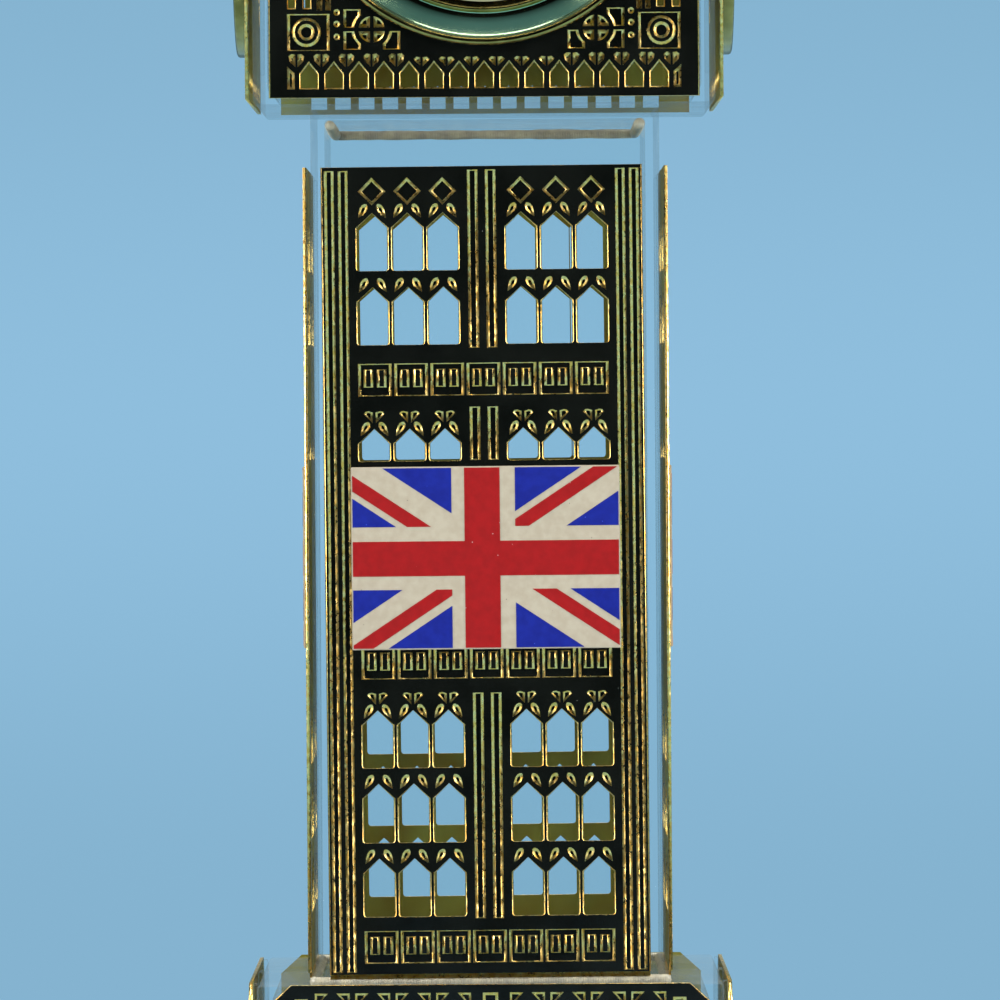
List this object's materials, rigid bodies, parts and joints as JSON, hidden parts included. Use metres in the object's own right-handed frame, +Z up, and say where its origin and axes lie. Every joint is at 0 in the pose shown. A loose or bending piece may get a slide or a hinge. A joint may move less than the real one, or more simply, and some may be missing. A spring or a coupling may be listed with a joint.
{
  "type": "miniature clock tower",
  "caption": "Souvenir Gothic clock tower of stacked clear boxes faced with pierced black and gold plates, with a press-fit quartz clock.",
  "frame": {"origin": "middle of the underside of the felt pad", "axes": "+Z up the tower, -Y towards the front with the working clock, +X to the right seen from the front"},
  "size_m": [0.041, 0.041, 0.173],
  "materials": {
    "felt": "matt felt",
    "black_lacquer": "gloss black lacquer over gilt brass, gilt where it is engraved",
    "clear_acrylic": "clear polished, cemented seams",
    "flag_enamel": "printed enamel in red, blue and cream",
    "gilt_metal": "polished gilt",
    "foam": "matt closed-cell foam",
    "mineral_glass": "polished",
    "printed_dial": "satin print",
    "black_plastic": "moulded",
    "white_plastic": "moulded",
    "cell_steel": "bright rolled",
    "copper_winding": "enamelled copper wire",
    "board": "solder mask",
    "wheel_brass": "blanked brass",
    "hand_black": "gloss black"
  },
  "bodies": {
    "tower": {"felt_pad": "felt", "foot_plate": "black_lacquer", "base_box": "clear_acrylic", "base_plate_front": "black_lacquer", "base_plate_right": "black_lacquer", "base_plate_back": "black_lacquer", "base_plate_left": "black_lacquer", "shaft_box": "clear_acrylic", "shaft_plate_front": "black_lacquer", "flag_panel_front": "flag_enamel", "shaft_plate_right": "black_lacquer", "flag_panel_right": "flag_enamel", "shaft_plate_back": "black_lacquer", "flag_panel_back": "flag_enamel", "shaft_plate_left": "black_lacquer", "flag_panel_left": "flag_enamel", "clock_box": "clear_acrylic", "clock_plate_front": "black_lacquer", "clock_plate_right": "black_lacquer", "fixed_dial_right": "printed_dial", "clock_plate_back": "black_lacquer", "fixed_dial_back": "printed_dial", "clock_plate_left": "black_lacquer", "fixed_dial_left": "printed_dial", "belfry_box": "clear_acrylic", "belfry_plate_front": "black_lacquer", "belfry_plate_right": "black_lacquer", "belfry_plate_back": "black_lacquer", "belfry_plate_left": "black_lacquer", "roof": "black_lacquer", "lantern": "gilt_metal", "spire": "black_lacquer", "finial": "gilt_metal"},
    "clock_insert": {"bezel": "gilt_metal", "bezel_gasket": "foam", "lens": "mineral_glass", "dial": "printed_dial", "movement_case": "black_plastic", "back_cover": "black_plastic", "button_cell": "cell_steel", "coil": "copper_winding", "stator": "cell_steel", "circuit_board": "board"},
    "minute_train": {"cannon_pinion": "wheel_brass", "minute_hand": "hand_black"},
    "hour_train": {"hour_wheel": "wheel_brass", "hour_hand": "hand_black"},
    "minute_wheel_train": {"minute_wheel": "wheel_brass"},
    "setting_train": {"setting_arbor": "cell_steel", "setting_knob": "white_plastic"}
  },
  "joints": [
    {"name": "insert_pull", "type": "slide", "parent": "tower", "child": "clock_insert", "axis": [0, -1, 0], "range_m": [0, 0.012]},
    {"name": "minute_turn", "type": "hinge", "parent": "clock_insert", "child": "minute_train", "pos_m": [0, -0.017, 0.1054], "axis": [0, 1, 0], "continuous": true},
    {"name": "hour_turn", "type": "hinge", "parent": "clock_insert", "child": "hour_train", "pos_m": [0, -0.017, 0.1054], "axis": [0, 1, 0], "continuous": true},
    {"name": "minute_wheel_turn", "type": "hinge", "parent": "clock_insert", "child": "minute_wheel_train", "pos_m": [-0.00576, -0.014, 0.1054], "axis": [0, 1, 0], "continuous": true},
    {"name": "setting_turn", "type": "hinge", "parent": "clock_insert", "child": "setting_train", "pos_m": [-0.00288, -0.01, 0.10041], "axis": [0, 1, 0], "continuous": true}
  ],
  "couplings": [
    {"joint": "minute_turn", "follows": "minute_wheel_turn", "ratio": -3},
    {"joint": "hour_turn", "follows": "minute_wheel_turn", "ratio": -0.25},
    {"joint": "setting_turn", "follows": "minute_wheel_turn", "ratio": -3}
  ]
}
